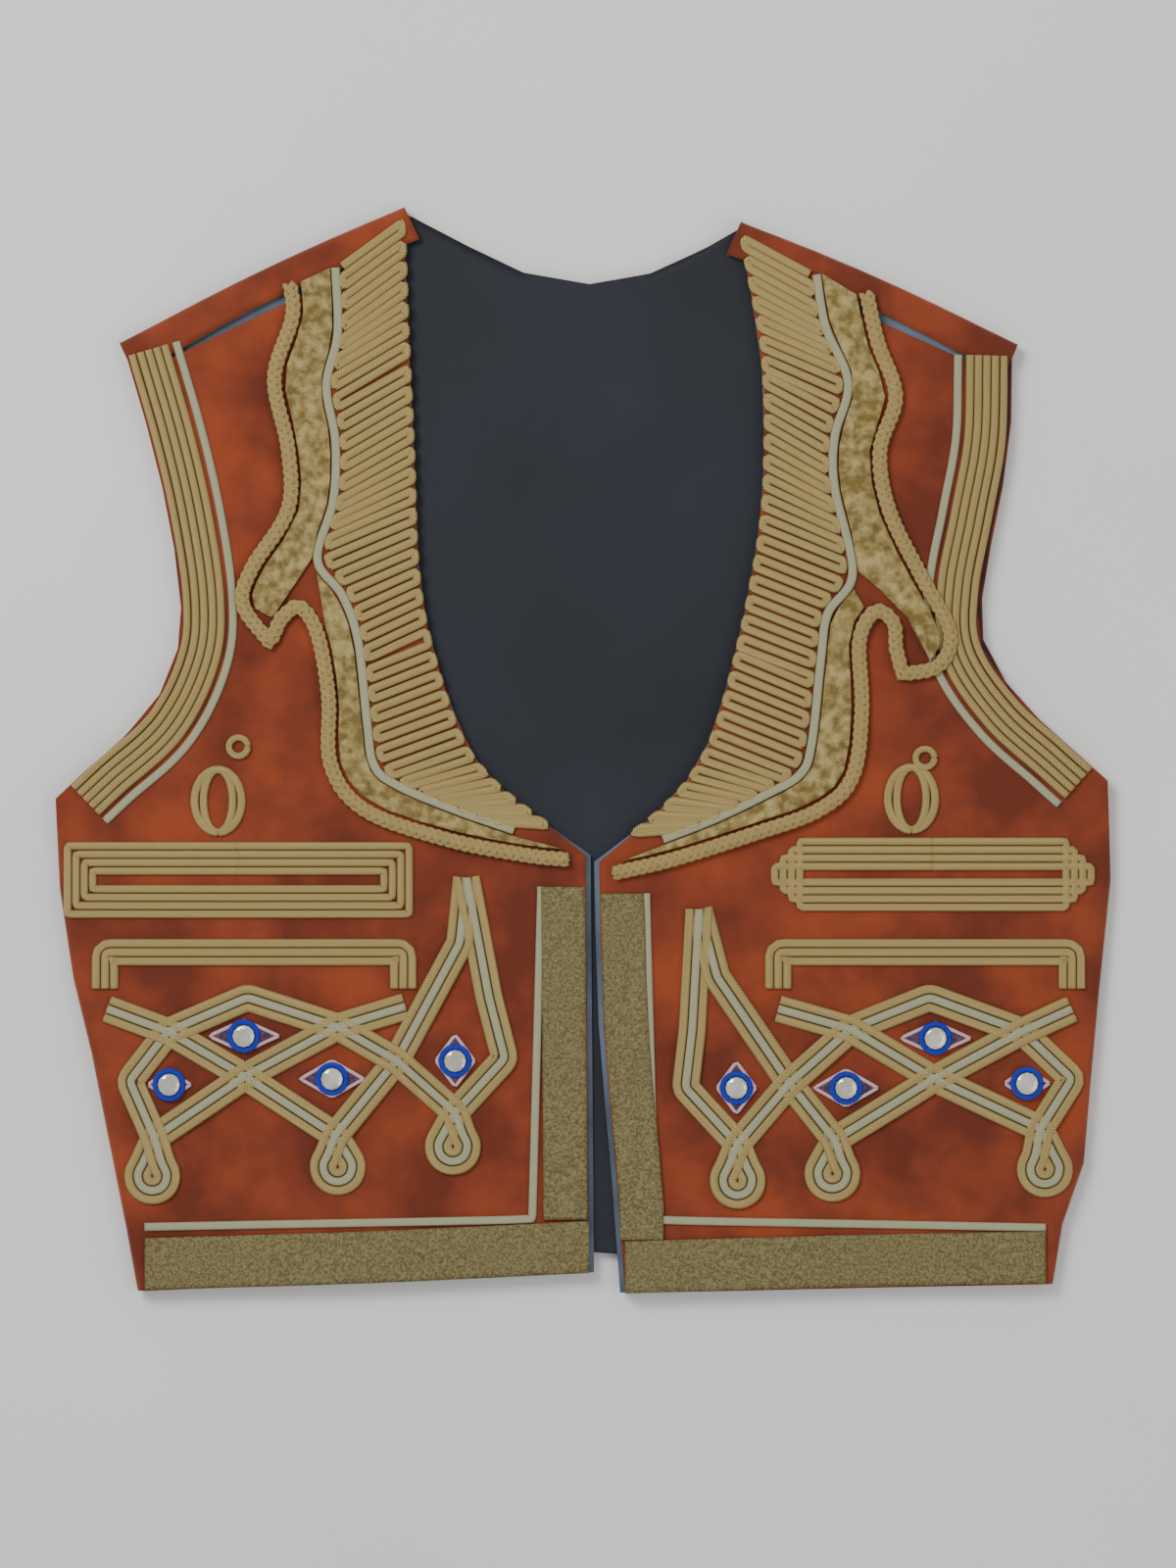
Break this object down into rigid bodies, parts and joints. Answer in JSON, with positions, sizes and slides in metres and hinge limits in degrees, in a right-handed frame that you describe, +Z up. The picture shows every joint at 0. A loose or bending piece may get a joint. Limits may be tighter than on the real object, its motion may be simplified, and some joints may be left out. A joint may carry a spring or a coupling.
{
  "type": "embroidered folk vest",
  "caption": "Sleeveless folk vest in rust velvet with gold braid knotwork, a looped braid collar with gold lapels and small stitched mirrors, laid flat.",
  "frame": {"origin": "bottom centre of the bounding box, on the table under the laid-out vest", "axes": "+X to the wearer's left, +Y from hem to neck, +Z up off the table, front of the vest facing up"},
  "size_m": [0.4676, 0.4814, 0.014],
  "materials": {
    "velvet": "quilted cotton velvet, short napped pile",
    "lining": "plain dark cotton",
    "facing": "plain grey-blue cotton",
    "band": "woven ribbon with metallic gold weft",
    "chevron": "narrow braid in green and cream stitches",
    "lame": "gathered metallic gold cloth",
    "patch": "purple brown cloth with fine metallic thread",
    "rim": "close button-hole stitch in blue thread",
    "mirror": "small thin silvered glass",
    "braid": "herringbone metallic gold soutache"
  },
  "bodies": {
    "root": {"armhole_braid_l": "braid", "armhole_braid_r": "braid", "armhole_chevron_l": "chevron", "armhole_chevron_r": "chevron", "back_lining": "lining", "back_velvet": "velvet", "collar_chevron_l": "chevron", "collar_chevron_r": "chevron", "collar_lapel_l": "lame", "collar_lapel_r": "lame", "collar_loops_l": "braid", "collar_loops_r": "braid", "collar_lower_l": "lame", "collar_lower_r": "lame", "collar_plait_l": "braid", "collar_plait_r": "braid", "diamond_1_l": "patch", "diamond_1_r": "patch", "diamond_2_l": "patch", "diamond_2_r": "patch", "diamond_3_l": "patch", "diamond_3_r": "patch", "diamond_4_l": "patch", "diamond_4_r": "patch", "finial_l": "braid", "finial_r": "braid", "frame_lower_l": "braid", "frame_lower_r": "braid", "frame_upper_l": "braid", "frame_upper_r": "braid", "front_band_l": "band", "front_band_r": "band", "front_chevron_l": "chevron", "front_chevron_r": "chevron", "front_lining_l": "facing", "front_lining_r": "facing", "front_velvet_l": "velvet", "front_velvet_r": "velvet", "hem_band_back": "band", "hem_band_l": "band", "hem_band_r": "band", "knotwork_l": "braid", "knotwork_r": "braid", "mirror_1_l": "mirror", "mirror_1_r": "mirror", "mirror_2_l": "mirror", "mirror_2_r": "mirror", "mirror_3_l": "mirror", "mirror_3_r": "mirror", "mirror_4_l": "mirror", "mirror_4_r": "mirror", "mirror_rim_1_l": "rim", "mirror_rim_1_r": "rim", "mirror_rim_2_l": "rim", "mirror_rim_2_r": "rim", "mirror_rim_3_l": "rim", "mirror_rim_3_r": "rim", "mirror_rim_4_l": "rim", "mirror_rim_4_r": "rim"}
  },
  "joints": []
}
